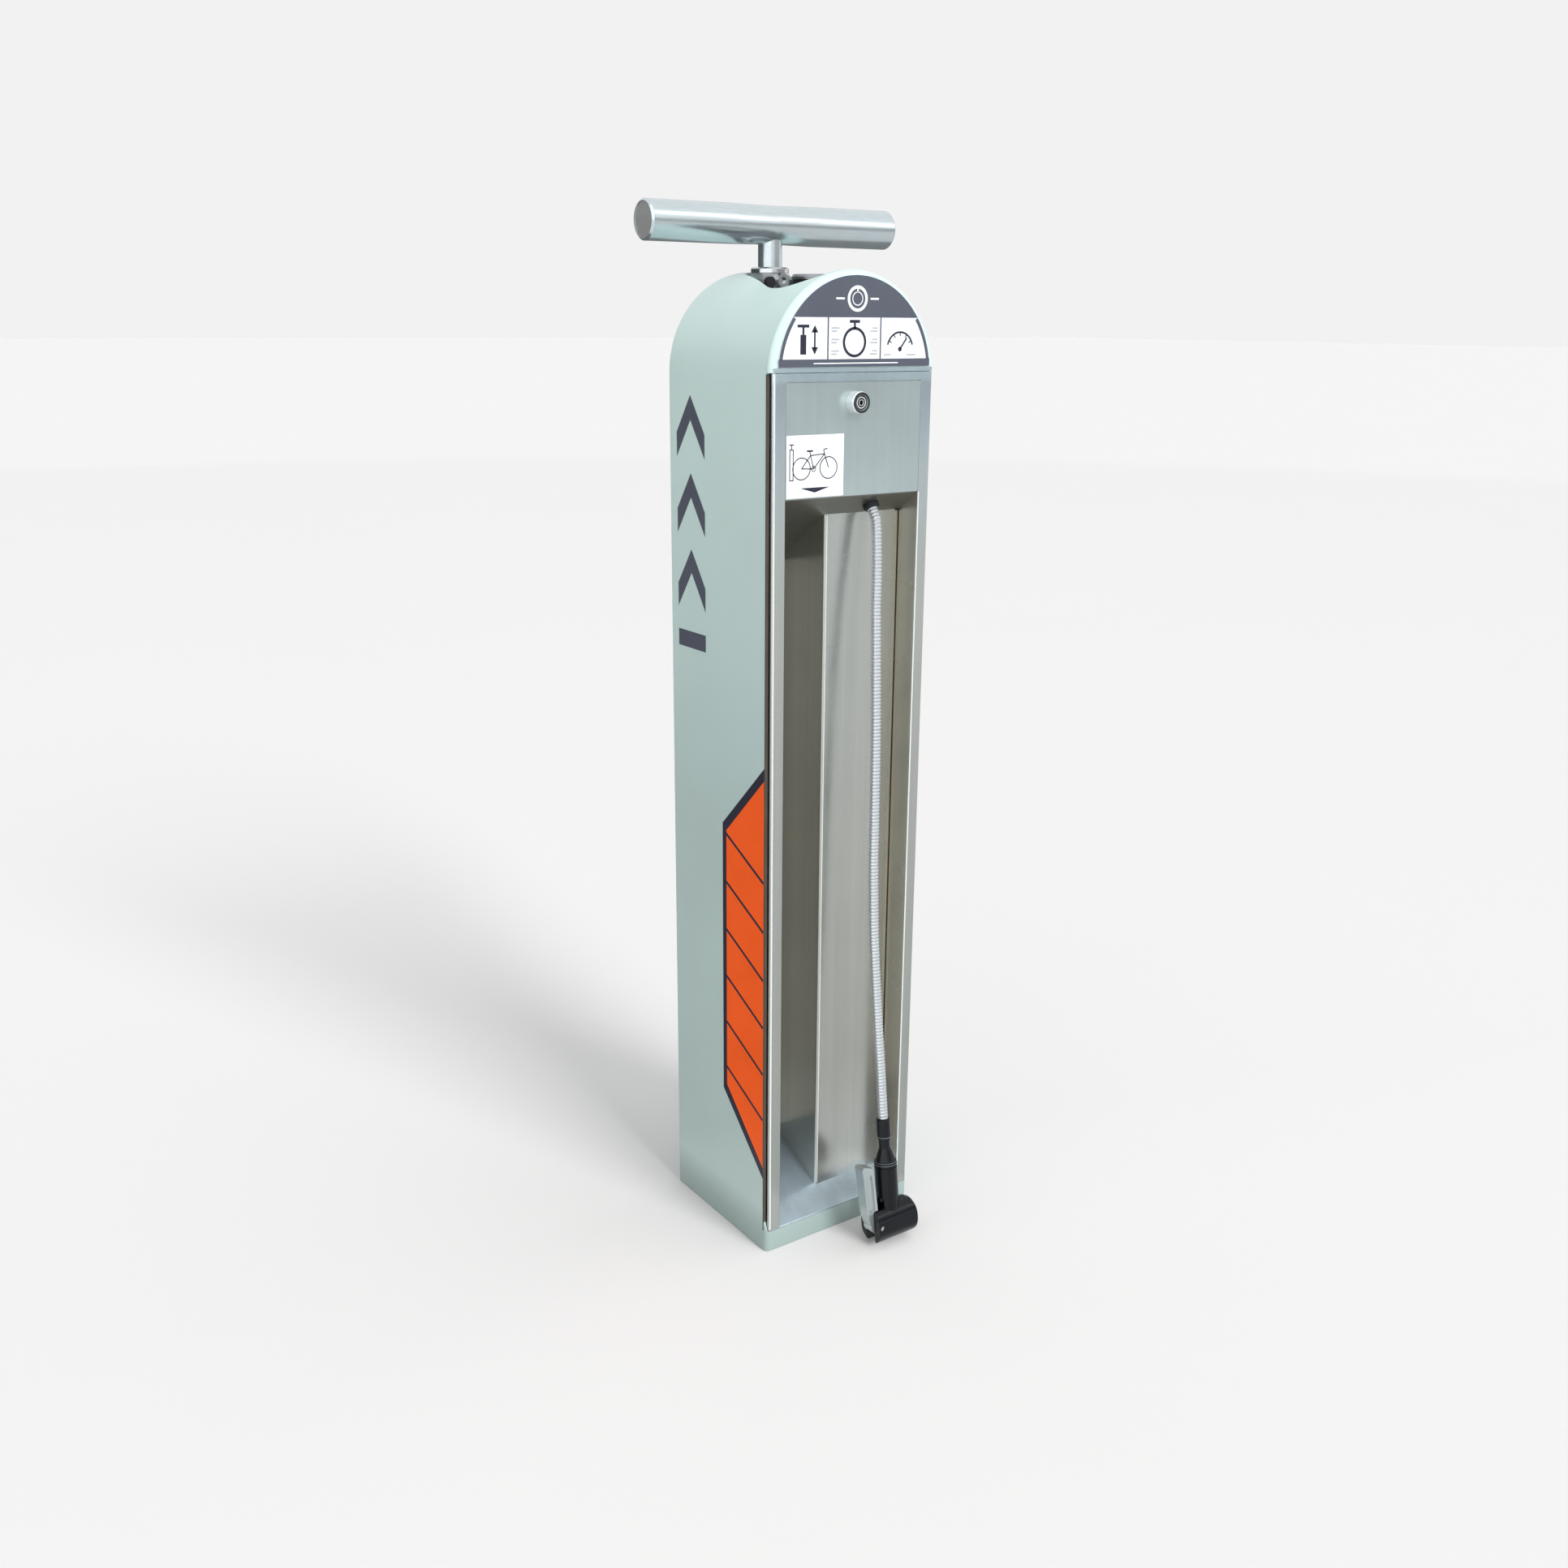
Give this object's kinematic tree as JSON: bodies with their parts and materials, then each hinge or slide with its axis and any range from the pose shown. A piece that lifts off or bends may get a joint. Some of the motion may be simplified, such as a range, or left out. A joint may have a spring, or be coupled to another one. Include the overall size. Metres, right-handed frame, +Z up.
{
  "type": "bike pump station",
  "caption": "Free-standing public bicycle pump column with an arched painted body, a hinged stainless service door, a T-handle piston pump, a gauge under the top opening and a ribbed hose with a pump head.",
  "frame": {"origin": "centre of the footprint, on the ground under the base plate", "axes": "+Z up, -Y towards the front (the door), +X to the right as seen from the front"},
  "size_m": [0.268, 0.2305, 0.9901],
  "materials": {
    "painted_green": "satin powder coat in a pale grey green",
    "sign_face": "printed satin plate",
    "galvanised": "zinc plated",
    "stainless": "brushed along its height",
    "box_panel": "brushed",
    "slot_steel": "dull brushed",
    "floor_steel": "brushed",
    "bright_steel": "bright turned",
    "dark_steel": "dark coat",
    "bezel_steel": "dark plated",
    "handle_chrome": "polished stainless tube",
    "lock_chrome": "plated",
    "plug_grey": "matt end plug",
    "cast_alloy": "machined alloy",
    "brass": "bare",
    "glass": "clear",
    "dial_white": "matt",
    "needle_red": "matt",
    "black_plastic": "moulded",
    "rubber": "matt",
    "hose_metal": "ribbed metal hose",
    "head_black": "smooth moulded",
    "lever_metal": "cast and brushed"
  },
  "bodies": {
    "station": {"shell": "painted_green", "front_cap": "painted_green", "sign_plate": "sign_face", "base_plate": "galvanised", "back_panel": "painted_green", "back_screws": "stainless", "top_tray": "dark_steel", "lock_strike": "galvanised", "hinge_pins": "bright_steel", "gauge_case": "black_plastic", "gauge_bezel": "bezel_steel", "gauge_glass": "glass", "gauge_dial": "dial_white", "gauge_stem": "brass", "guide_clamp": "cast_alloy", "clamp_screw": "bright_steel", "rubber_stop": "rubber", "cylinder_tube": "cast_alloy", "cylinder_foot": "cast_alloy", "bottom_buffer": "rubber", "cylinder_bracket": "galvanised", "gland_body": "cast_alloy", "guide_bush": "brass", "collar_ring": "bright_steel", "rod_wiper": "rubber", "outlet_valve": "brass", "feed_pipe": "brass"},
    "needle": {"gauge_needle": "needle_red"},
    "piston": {"piston": "black_plastic", "cup_seal": "rubber"},
    "handle": {"rod": "handle_chrome", "piston_nut": "galvanised", "handle_hub": "bright_steel", "handle_tube": "handle_chrome", "handle_plugs": "plug_grey"},
    "door": {"door_frame": "stainless", "box_front": "box_panel", "slot_liner": "slot_steel", "centre_panel": "stainless", "right_wall": "stainless", "recess_ceiling": "slot_steel", "recess_floor": "floor_steel", "lock_housing": "lock_chrome", "lock_nut": "galvanised", "hose_gland": "black_plastic", "gland_nut": "galvanised", "hose_elbow": "brass", "hose": "hose_metal", "hose_boot": "head_black", "head_neck": "head_black", "head_body": "head_black", "valve_seal": "rubber", "mouth_ring": "head_black", "lever_pin": "bright_steel"},
    "lock": {"lock_plug": "lock_chrome", "lock_cam": "galvanised", "cam_screw": "bright_steel"},
    "lever": {"lever": "lever_metal"}
  },
  "joints": [
    {"name": "door_hinge", "type": "hinge", "parent": "station", "child": "door", "pos_m": [-0.0842, -0.0795, 0.4], "axis": [0, 0, -1], "range_deg": [0, 100]},
    {"name": "lock_turn", "type": "hinge", "parent": "door", "child": "lock", "pos_m": [0, -0.08, 0.8215], "axis": [0, -1, 0], "range_deg": [0, 90]},
    {"name": "pump_stroke", "type": "slide", "parent": "station", "child": "piston", "axis": [0, 0, 1], "range_m": [0, 0.45]},
    {"name": "handle_swivel", "type": "hinge", "parent": "piston", "child": "handle", "pos_m": [0, 0.05, 0.9], "axis": [0, 0, 1], "continuous": true},
    {"name": "needle_sweep", "type": "hinge", "parent": "station", "child": "needle", "pos_m": [0, -0.03, 0.92], "axis": [0, 0, -1], "range_deg": [0, 270], "stiffness_Nm_per_rad": 0.0005},
    {"name": "lever_swing", "type": "hinge", "parent": "door", "child": "lever", "pos_m": [0.008, -0.13066, 0.02291], "axis": [0, -0.9925, 0.1219], "range_deg": [0, 90]}
  ]
}
